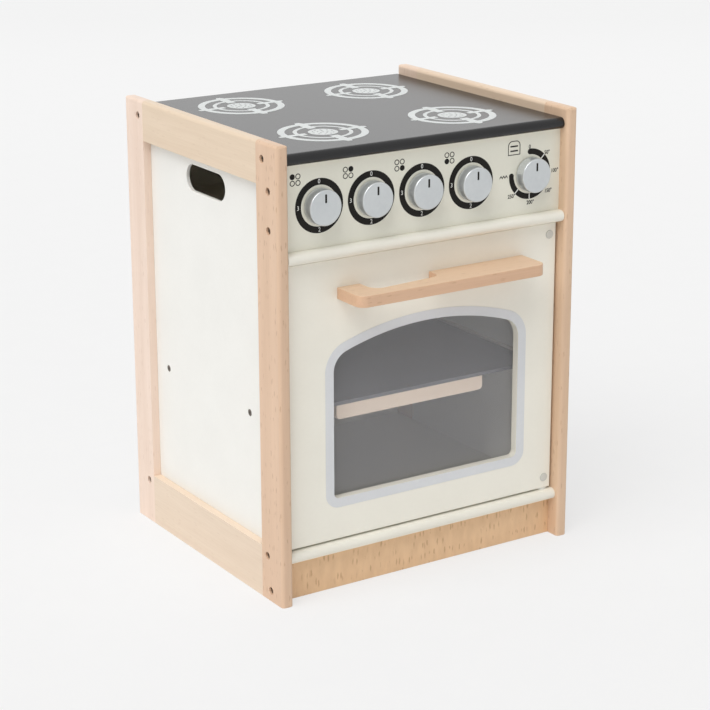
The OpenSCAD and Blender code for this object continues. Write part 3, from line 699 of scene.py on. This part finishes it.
def arc_points(centre: Point, radius: float, start: float, end: float, steps: int) -> Outline:
    """Returns the points of an arc.

    Args:
        centre: Centre of the arc.
        radius: Its radius.
        start: Where it starts, in degrees anticlockwise from the right.
        end: Where it ends, in the same way.
        steps: How many steps it has.

    Returns:
        The points, both ends included.
    """
    turns = [math.radians(start + (end - start) * step / steps) for step in range(steps + 1)]
    return [(centre[0] + radius * math.cos(a), centre[1] + radius * math.sin(a)) for a in turns]


def arch_points(low: Point, high: Point, radius: float) -> Outline:
    """Returns a box's outline with two round upper corners."""
    points = [low, (high[0], low[1])]
    points += arc_points((high[0] - radius, high[1] - radius), radius, 0, 90, 8)
    points += arc_points((low[0] + radius, high[1] - radius), radius, 90, 180, 8)
    return points


@dataclass(frozen=True)
class Stencil:
    """A flat printed layer on one face of the cooker."""

    facing: Facing
    plane: float
    thickness: float = 0.12 * MM
    narrow: float = 0.88
    capital: float = 0.70

    def lay(self, piece: Piece, name: str, place: Point, lift: float) -> Piece:
        """Turns a flat curve or word to the face, makes it a mesh and sets it there.

        Args:
            piece: The curve or word.
            name: Name of the mesh.
            place: Where it lies on the face.
            lift: How far above the face it starts.

        Returns:
            The printed layer.
        """
        lift += self.thickness / 2
        piece.rotation_euler = tuple(math.radians(angle) for angle in self.facing.value)
        if self.facing is Facing.FRONT:
            piece.location = (place[0], self.plane - lift, place[1])
        else:
            piece.location = (*place, self.plane + lift)
        Bench.take(piece)
        bpy.ops.object.convert(target="MESH")
        return Bench.settle(bpy.context.active_object, name)

    def shape(self, name: str, outlines: Sequence[Outline], lift: float = 0.0) -> Piece:
        """Prints closed outlines, an outline inside another being a hole.

        Args:
            name: Name of the piece.
            outlines: The outlines, in the face's own two directions.
            lift: How far above the face the layer starts.

        Returns:
            The printed layer.
        """
        curve = bpy.data.curves.new(name, "CURVE")
        curve.dimensions = "2D"
        curve.fill_mode = "BOTH"
        curve.extrude = self.thickness / 2
        for outline in outlines:
            spline = curve.splines.new("POLY")
            spline.points.add(len(outline) - 1)
            for point, (across, along) in zip(spline.points, outline):
                point.co = (across, along, 0.0, 1.0)
            spline.use_cyclic_u = True
        piece = bpy.data.objects.new(name, curve)
        link(piece)
        return self.lay(piece, name, (0.0, 0.0), lift)

    def word(self, name: str, text: str, place: Point, height: float, lift: float = 0.0,
             bold: float = 0.0) -> Piece:
        """Prints a short word or number centred on a place.

        Args:
            name: Name of the piece.
            text: What it says.
            place: Where its middle is on the face.
            height: Height of a capital.
            lift: How far above the face the layer starts.
            bold: How far each stroke is widened.

        Returns:
            The printed word.
        """
        bpy.ops.object.select_all(action="DESELECT")
        bpy.ops.object.text_add()
        piece = bpy.context.active_object
        piece.data.body = text
        piece.data.size = height / self.capital
        piece.data.align_x = piece.data.align_y = "CENTER"
        piece.data.extrude = self.thickness / 2
        piece.data.offset = bold
        piece.scale.x = self.narrow
        return self.lay(piece, name, place, lift)


@dataclass(frozen=True)
class Board:
    """One bare beech board: its node, grain, mean tone and how flecked it is."""

    node: str
    grain: Grain
    tone: Colour = srgb(226, 200, 174)
    flecks: float = 0.3


@dataclass
class BeechParts:
    """The bare beech boards, each with its own cut of the grain."""

    edge: float = 0.35 * MM
    grain_steps: tuple[float, float, float] = (0.37, 0.19, 0.23)
    rows: tuple[Board, ...] = (
        Board("left_front_post", Grain.ALONG_Z, srgb(222, 190, 162), 0.45),
        Board("left_back_post", Grain.ALONG_Z, srgb(238, 215, 198), 0.20),
        Board("left_top_rail", Grain.ALONG_Y, srgb(227, 206, 181), 0.12),
        Board("left_bottom_rail", Grain.ALONG_Y, srgb(228, 208, 186), 0.12),
        Board("right_front_post", Grain.ALONG_Z, srgb(223, 191, 161), 0.35),
        Board("right_back_post", Grain.ALONG_Z, srgb(232, 206, 184), 0.25),
        Board("right_top_rail", Grain.ALONG_Y, srgb(228, 204, 178), 0.20),
        Board("right_bottom_rail", Grain.ALONG_Y, srgb(228, 206, 182), 0.20),
        Board("left_runner", Grain.ALONG_Y, srgb(226, 219, 208), 0.15),
        Board("right_runner", Grain.ALONG_Y, srgb(226, 219, 208), 0.15),
        Board("rear_batten", Grain.ALONG_X), Board("catch_block", Grain.ALONG_X))

    def build(self) -> None:
        """Makes each board with eased edges and its own start in the grain."""
        for number, board in enumerate(self.rows):
            start = tuple(step * number for step in self.grain_steps)
            finish = Beech("beech_" + board.node, 0.42, board.grain, start, board.tone, board.flecks)
            Bench.eased(board.node, board.node + "_eased", self.edge, finish, "cabinet", "beech")


@dataclass
class Plinth:
    """The board under the oven floor, redder and more flecked than the rest."""

    edge: float = 0.3 * MM

    def build(self) -> None:
        """Makes the board."""
        finish = Beech("beech_plinth", 0.48, Grain.ALONG_Z, (1.3, 2.1, 0.7), srgb(236, 199, 158),
                       flecks=0.6, fleck_size=0.20, streaks=0.0)
        Bench.eased("plinth", "plinth_eased", self.edge, finish, "cabinet", "beech")


@dataclass
class PaintedParts:
    """The cream and black boards of the case."""

    edge: float = 0.4 * MM
    rows: tuple[tuple[str, Paint], ...] = (
        ("left_infill_panel", Palette.SIDE_CREAM), ("right_infill_panel", Palette.SIDE_CREAM),
        ("control_panel", Palette.PANEL_CREAM), ("ceiling_board", Palette.NOSE_CREAM),
        ("floor_board", Palette.NOSE_CREAM), ("back_panel", Palette.CREAM))

    def build(self) -> None:
        """Makes each board with eased edges."""
        for node, finish in self.rows:
            Bench.eased(node, node + "_painted", self.edge, finish, "cabinet", "cream_paint")
        hob = Bench.eased("hob_board", "hob_board_painted", self.edge, Palette.HOB, "cabinet", "hob_paint")
        Bench.face_finish(hob, Palette.PRIMER, lambda face: face.normal.z < -FACES_ALONG)


@dataclass
class Burners:
    """The four burner marks printed on the hob."""

    stencil: Stencil = Stencil(Facing.UP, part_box("hob_board")[1].z)
    radius: float = 46.0 * MM
    column: float = 79.0 * MM
    ring_shares: tuple[tuple[float, float], ...] = ((1.0, 0.84), (0.66, 0.57))
    disc_share: float = 0.33
    arm_from: float = 0.43
    arm_to: float = 1.11
    arm_widths: tuple[float, float] = (6.8 * MM, 9.6 * MM)
    hole_rows: tuple[tuple[int, float], ...] = ((1, 0.0), (5, 0.12), (10, 0.23))
    hole_radius: float = 1.1 * MM
    arm_lift: float = 0.01 * MM

    def one(self, name: str, place: Point) -> None:
        """Prints one burner mark: two rings, a disc with holes and four arms.

        Args:
            name: Name of the mark.
            place: Where its middle is.
        """
        outlines = [ring_points(place, share * self.radius) for pair in self.ring_shares for share in pair]
        outlines.append(ring_points(place, self.disc_share * self.radius))
        for count, share in self.hole_rows:
            for spot in ring_points(place, share * self.radius, count):
                outlines.append(ring_points(spot, self.hole_radius, 16))
        parts = [self.stencil.shape(name + "_rings", outlines)]
        near, far = self.arm_from * self.radius, self.arm_to * self.radius
        for turn in range(4):
            half = self.arm_widths[turn % 2] / 2
            c, s = math.cos(turn * math.pi / 2), math.sin(turn * math.pi / 2)
            corners = [(near, -half), (far - half, -half), (far, -half / 2),
                       (far, half / 2), (far - half, half), (near, half)]
            arm = [(place[0] + x * c - y * s, place[1] + x * s + y * c) for x, y in corners]
            parts.append(self.stencil.shape(f"{name}_arm_{turn}", [arm], self.arm_lift))
        Bench.dress(Bench.join(parts, name), Palette.PALE_INK, "cabinet", "pale_print", "burner_prints")

    def build(self) -> None:
        """Prints the four marks in the frame's places."""
        low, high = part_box("burner_prints")
        reach = self.arm_to * self.radius
        rows = {"front": low.y + reach, "back": high.y - reach}
        for side, across in (("left", -self.column), ("right", self.column)):
            for row, along in rows.items():
                self.one(f"burner_{row}_{side}", (across, along))


@dataclass
class DialScales:
    """The rings, numbers and small marks printed round the dials."""

    stencil: Stencil = Stencil(Facing.FRONT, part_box("control_panel")[0].y)
    outer: float = 27.4 * MM
    inner: float = 20.8 * MM
    digit: float = 4.4 * MM
    label: float = 4.0 * MM
    mark_across: float = -27.0 * MM
    mark_up: float = 28.7 * MM
    mark_pitch: float = 6.4 * MM
    mark_radius: float = 2.85 * MM
    mark_sides: int = 48
    line: float = 0.85 * MM
    bold: float = 0.1 * MM
    tick: float = 1.2 * MM
    tick_lift: float = 0.3
    oven_outer: float = 26.5 * MM
    oven_inner: float = 20.5 * MM
    oven_low: Point = (-28.3 * MM, 21.9 * MM)
    oven_size: tuple[float, float] = (15.6 * MM, 15.0 * MM)
    oven_corner: float = 5.2 * MM
    oven_corner_in: float = 4.4 * MM
    oven_shelves: tuple[float, float] = (3.7 * MM, 8.5 * MM)
    shelf_in: float = 3.0 * MM
    shelf_line: float = 1.5 * MM
    grill_from: float = -38.4 * MM
    grill_step: float = 1.65 * MM
    grill_rise: float = 2.2 * MM
    grill_line: float = 1.5 * MM
    filled: tuple[tuple[int, int], ...] = ((-1, 1), (1, 1), (1, -1), (-1, -1))
    degrees: tuple[tuple[str, float, float], ...] = (
        ("50°", 22.1, 20.0), ("100°", 32.5, -0.3), ("150°", 24.5, -20.8), ("200°", 1.6, -30.4),
        ("250°", -22.9, -21.3), ("0", -0.5, 28.4))

    def hob_scale(self, number: int, at: Vector) -> None:
        """Prints a hob dial's ring with its numbers and its burner mark.

        Args:
            number: Which dial it is, from 1 to 4.
            at: The dial's centre.
        """
        place = (at.x, at.z)
        self.ink(f"dial_ring_{number}", [ring_points(place, self.outer), ring_points(place, self.inner)])
        middle = (self.outer + self.inner) / 2
        digits = []
        for step in range(4):
            turn = math.radians(90 - 90 * step)
            spot = (at.x + middle * math.cos(turn), at.z + middle * math.sin(turn))
            digits.append(self.stencil.word(f"digit_{number}_{step}", str(step), spot, self.digit,
                                            self.stencil.thickness))
        Bench.dress(Bench.join(digits, f"dial_digits_{number}"), Palette.WHITE_INK, "cabinet", "pale_print")
        self.burner_mark(number, at)

    def ink(self, name: str, outlines: Sequence[Outline]) -> None:
        """Prints a dark mark that stands for a part of the frame's print."""
        mark = self.stencil.shape(name, outlines)
        Bench.dress(mark, Palette.DARK_INK, "cabinet", "dark_print", "dial_prints")

    def burner_mark(self, number: int, at: Vector) -> None:
        """Prints four small circles, the dial's own burner filled.

        Args:
            number: Which dial it is, from 1 to 4.
            at: The dial's centre.
        """
        outlines = []
        for side, row in self.filled:
            spot = (at.x + self.mark_across + side * self.mark_pitch / 2,
                    at.z + self.mark_up + row * self.mark_pitch / 2)
            outlines.append(ring_points(spot, self.mark_radius, self.mark_sides))
            if (side, row) != self.filled[number - 1]:
                outlines.append(ring_points(spot, self.mark_radius - self.line, self.mark_sides))
        self.ink(f"burner_mark_{number}", outlines)

    def oven_scale(self, at: Vector) -> None:
        """Prints the oven dial's three-quarter band, ticks, labels and marks.

        Args:
            at: The dial's centre.
        """
        place = (at.x, at.z)
        middle, half = (self.oven_outer + self.oven_inner) / 2, (self.oven_outer - self.oven_inner) / 2
        band = arc_points(place, self.oven_outer, 90, -180, 96)
        band += arc_points((at.x - middle, at.z), half, 180, 0, 12)[1:-1]
        band += arc_points(place, self.oven_inner, -180, 90, 96)
        band += arc_points((at.x, at.z + middle), half, -90, -270, 12)[1:-1]
        self.ink("oven_band", [band])
        ticks, lift = [], self.tick_lift * self.stencil.thickness
        for step in range(1, 6):
            turn = math.radians(90 - 45 * step)
            out = Vector((math.cos(turn), math.sin(turn)))
            side = Vector((-out.y, out.x)) * self.tick / 2
            corners = [out * self.oven_inner - side, out * self.oven_outer - side,
                       out * self.oven_outer + side, out * self.oven_inner + side]
            outline = [(at.x + c.x, at.z + c.y) for c in corners]
            ticks.append(self.stencil.shape(f"oven_tick_{step}", [outline], lift))
        Bench.dress(Bench.join(ticks, "oven_ticks"), Palette.WHITE_INK, "cabinet", "pale_print")
        words = [
            self.stencil.word(f"oven_word_{n}", text, (at.x + across * MM, at.z + up * MM), self.label,
                              bold=self.bold)
            for n, (text, across, up) in enumerate(self.degrees)]
        Bench.dress(Bench.join(words, "oven_numbers"), Palette.DARK_INK, "cabinet", "dark_print")
        self.oven_mark(at)
        self.grill_mark(at)

    def oven_mark(self, at: Vector) -> None:
        """Prints a small box with a rounded top and two shelves.

        Args:
            at: The oven dial's centre.
        """
        line = self.line
        left, low = at.x + self.oven_low[0], at.z + self.oven_low[1]
        right, high = left + self.oven_size[0], low + self.oven_size[1]
        outlines = [
            arch_points((left, low), (right, high), self.oven_corner),
            arch_points((left + line, low + line), (right - line, high - line), self.oven_corner_in)]
        for up in self.oven_shelves:
            outlines.append(bar_points((left + self.shelf_in, low + up),
                                       (right - self.shelf_in, low + up + self.shelf_line)))
        self.ink("oven_mark", outlines)

    def grill_mark(self, at: Vector) -> None:
        """Prints a short zigzag at the end of the band round the oven dial's centre."""
        upper = [(at.x + self.grill_from + step * self.grill_step, at.z + self.grill_rise * (step % 2))
                 for step in range(7)]
        lower = [(across, up - self.grill_line) for across, up in reversed(upper)]
        self.ink("grill_mark", [upper + lower])

    def build(self) -> None:
        """Prints everything round the five dials."""
        for number in range(1, 5):
            self.hob_scale(number, centre_of(f"knob_{number}"))
        self.oven_scale(centre_of("knob_5"))


@dataclass
class Knobs:
    """The five silver knobs with their dark pointers."""

    box: tuple[Vector, Vector] = tuple(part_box("knob_1"))
    rim: float = 1.3 * MM
    foot: float = 0.5 * MM
    rim_steps: int = 5
    dish: float = 0.12 * MM
    dish_rim: float = 1.6 * MM
    pointer_width: float = 2.3 * MM
    pointer_low: float = 4.9 * MM
    pointer_high: float = 13.7 * MM
    pointer_depth: float = 0.6 * MM
    pointer_sunk: float = 0.15 * MM
    pointer_gap: float = 0.01 * MM
    pointer_corner: float = 0.7 * MM
    dish_step: float = 0.4 * MM
    cut_proud: float = 1.0 * MM
    crease: float = 32.0

    def model(self) -> Piece:
        """Models one knob in the frame's first place.

        Returns:
            The knob, with a slot for its pointer.
        """
        low, high = self.box
        radius = (high.x - low.x) / 2
        knob = Bench.drum("knob_model", (low + high) / 2, radius, high.y - low.y)
        with EditMode(knob) as edit:
            edit.pick(lambda face: face.normal.y < -FACES_ALONG)
            bpy.ops.mesh.bevel(offset=self.rim, segments=self.rim_steps, affect="EDGES")
            edit.pick(lambda face: face.normal.y > FACES_ALONG)
            bpy.ops.mesh.bevel(offset=self.foot, segments=2, affect="EDGES")
            edit.pick(lambda face: face.normal.y < -FACES_ALONG and face.calc_area() > radius * radius)
            bpy.ops.mesh.inset(thickness=self.dish_rim)
            bpy.ops.transform.translate(value=(0, self.dish, 0))
            bpy.ops.mesh.inset(thickness=self.dish_step)
        Bench.cut(knob, self.slot_block("pointer_cutter", self.cut_proud, self.pointer_depth))
        Bench.smooth(knob, self.crease)
        return knob

    def slot_block(self, name: str, proud: float, depth: float) -> Piece:
        """Makes the upright block that fills the pointer's slot.

        Args:
            name: Name of the block.
            proud: How far it stands out of the knob's face.
            depth: How deep it goes under the face.

        Returns:
            The block.
        """
        low, high = self.box
        centre = (low + high) / 2
        half, face = self.pointer_width / 2, low.y + self.dish
        block = Bench.block(name, Vector((centre.x - half, face - proud, centre.z + self.pointer_low)),
                            Vector((centre.x + half, face + depth, centre.z + self.pointer_high)))
        with EditMode(block):
            mesh = bmesh.from_edit_mesh(block.data)
            for edge in mesh.edges:
                across = edge.verts[0].co - edge.verts[1].co
                edge.select_set(abs(across.y) > FACES_ALONG * across.length)
            bmesh.update_edit_mesh(block.data)
            bpy.ops.mesh.bevel(offset=self.pointer_corner, segments=3, affect="EDGES")
        return block

    def build(self) -> None:
        """Models one knob and its pointer and sets a copy on each bolt."""
        model = self.model()
        inlay = self.slot_block("pointer_model", -self.pointer_sunk, self.pointer_depth - self.pointer_gap)
        for number in range(1, 6):
            shift = centre_of(f"knob_{number}") - centre_of("knob_1")
            body = f"dial_{number}"
            knob = Bench.copy(model, f"dial_knob_{number}", shift)
            Bench.dress(knob, Palette.SILVER, body, "silver_plastic", f"knob_{number}")
            pointer = Bench.copy(inlay, f"knob_pointer_{number}", shift)
            Bench.dress(pointer, Palette.DARK_INK, body, "dark_print")
        for spare in (model, inlay):
            bpy.data.objects.remove(spare)


@dataclass
class Door:
    """The oven door with its window, border and handle."""

    edge: float = 0.5 * MM
    print_edge: float = 0.1 * MM
    handle_edge: float = 0.7 * MM
    cap_edge: float = 0.3 * MM
    top_tilt: float = 0.7

    def build(self) -> None:
        """Makes the door's shown pieces."""
        wood = Beech("beech_handle", 0.42, Grain.ALONG_X, (3.1, 0.4, 1.9), srgb(220, 181, 149), 0.30)
        # Painted light: the handle's upward faces get a lighter, yellower copy of its beech, so that its
        # top shows as lit.
        top = Beech("beech_handle_painted_light_top", 0.42, Grain.ALONG_X, (1.7, 0.8, 2.6), srgb(223, 192, 162), 0.35)
        Bench.eased("door_panel", "door_panel_painted", self.edge, Palette.CREAM, "door", "cream_paint")
        Bench.eased("window_border", "window_border_print", self.print_edge, Palette.BORDER_INK, "door",
                    "silver_print", 1)
        handle = Bench.eased("door_handle", "door_handle_rounded", self.handle_edge, wood, "door",
                             "beech", 4)
        Bench.face_finish(handle, top, lambda face: face.normal.z > self.top_tilt)
        Bench.eased("window_pane", "window_pane_clear", self.print_edge, Palette.PANE, "door",
                    "clear_pane", 1)
        Bench.eased("pin_caps", "pin_caps_domed", self.cap_edge, Palette.CAP, "door", "cap_plastic")


@dataclass
class Shelf:
    """The dark shelf with the beech lip under its front edge."""

    edge: float = 0.4 * MM
    lip_edge: float = 1.0 * MM

    def build(self) -> None:
        """Makes the shelf and its lip."""
        # Painted light: the lip's beech is much paler than the other boards, standing in for the light it
        # catches through the window.
        wood = Beech("beech_lip_painted_light", 0.45, Grain.ALONG_X, (0.9, 2.4, 0.2), srgb(245, 225, 204), 0.20)
        Bench.eased("shelf_board", "shelf_board_painted", self.edge, Palette.SLATE, "shelf", "slate_paint")
        Bench.eased("shelf_lip", "shelf_lip_rounded", self.lip_edge, wood, "shelf", "beech")


class Hardware:
    """The frame's own solids. Screws, pins, washers and the catch show as they are."""

    def build(self) -> None:
        """Gives each solid the finish of its slot."""
        for entry in frame["record"]["subparts"]:
            node = frame["nodes"][entry["node"]]
            finish = Palette.BY_SLOT[entry["material_slot"]]
            if not node.material_slots:
                node.data.materials.append(finish.material())
            for place in node.material_slots:
                place.material = finish.material()
            LOG.info("%s is finished in %s", node.name, finish.name)


@dataclass
class Studio:
    """The plain pale room, its soft light and the camera."""

    floor_half: float = 60.0
    seen_colour: Colour = srgb(243, 243, 243)
    world_light: float = 0.45
    sun_towards: tuple[float, float, float] = (-0.50, -0.22, 0.84)
    sun_strength: float = 2.07
    sun_angle: float = 50.0
    glow_towards: tuple[float, float, float] = (0.5246, 0.7995, 0.31)
    glow_distance: float = 3.4
    glow_width: float = 4.4
    glow_height: float = 1.5
    glow_power: float = 6.5
    camera_at: tuple[float, float, float] = (-1.1854, -1.8436, 0.8939)
    camera_pitch: float = 16.999
    camera_turn: float = -33.271
    lens: float = 108.0
    shift: tuple[float, float] = (-0.029, -0.03)

    def build(self) -> None:
        """Sets up floor, world, sun, lit panel and camera."""
        self.lay_floor()
        self.light_world()
        self.hang_lamps()
        self.set_camera()
        bpy.context.scene.view_settings.view_transform = "Standard"

    def lay_floor(self) -> None:
        """Lays the plain floor."""
        bpy.ops.object.select_all(action="DESELECT")
        bpy.ops.mesh.primitive_plane_add(size=2 * self.floor_half)
        floor = Bench.settle(bpy.context.active_object, "studio_floor")
        paper = FloorPaper("studio_paper", 0.9, srgb(243, 243, 243), srgb(241, 241, 241))
        floor.data.materials.append(paper.material())

    def light_world(self) -> None:
        """Lights the room evenly and shows the pale backdrop to the eye."""
        world = bpy.data.worlds.new("studio_world")
        bpy.context.scene.world = world
        world.use_nodes = True
        world.node_tree.nodes.clear()
        desk = NodeDesk(world.node_tree)
        light = desk.add("ShaderNodeBackground", {"Color": (1, 1, 1, 1), "Strength": self.world_light})
        backdrop = desk.add("ShaderNodeBackground", {"Color": self.seen_colour, "Strength": 1.0})
        desk.add("ShaderNodeOutputWorld", {"Surface": desk.cross(rays_to_the_eye(desk), light, backdrop)})

    def lamp(self, name: str, kind: str, power: float, at: Vector, back: Vector) -> bpy.types.Light:
        """Hangs a lamp that shines against a direction.

        Args:
            name: Name of the lamp.
            kind: Blender's kind of lamp.
            power: How strong it is.
            at: Where it hangs.
            back: The direction from what it lights towards the lamp.

        Returns:
            The lamp's settings.
        """
        lamp = bpy.data.lights.new(name, kind)
        lamp.energy = power
        holder = bpy.data.objects.new(name, lamp)
        holder.location = at
        holder.rotation_euler = back.to_track_quat("Z", "Y").to_euler()
        link(holder)
        return lamp

    def hang_lamps(self) -> None:
        """Hangs a broad soft sun at the front left and a lit panel behind, which the hob mirrors."""
        sun = self.lamp("soft_sun", "SUN", self.sun_strength, Vector(), Vector(self.sun_towards))
        sun.angle = math.radians(self.sun_angle)
        hob, towards = Vector((0.0, 0.0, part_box("hob_board")[1].z)), Vector(self.glow_towards)
        panel = self.lamp("lit_panel", "AREA", self.glow_power, hob + towards * self.glow_distance, towards)
        panel.shape = "RECTANGLE"
        panel.size, panel.size_y = self.glow_width, self.glow_height

    def set_camera(self) -> None:
        """Sets the camera where the photograph was taken from."""
        lens = bpy.data.cameras.new("camera")
        lens.lens = self.lens
        lens.shift_x, lens.shift_y = self.shift
        holder = bpy.data.objects.new("camera", lens)
        holder.location = self.camera_at
        holder.rotation_euler = (math.radians(90 - self.camera_pitch), 0.0, math.radians(self.camera_turn))
        link(holder)
        bpy.context.scene.camera = holder


def main() -> None:
    """Builds the room and every sub-assembly in order."""
    logging.basicConfig(level=logging.INFO, format="%(name)s: %(message)s")
    BeechGrain().make()
    PaintSkin().make()
    for assembly in (Studio(), Hardware(), BeechParts(), Plinth(), PaintedParts(), Burners(), DialScales(),
                     Knobs(), Door(), Shelf()):
        assembly.build()


if __name__ == "__main__":
    main()
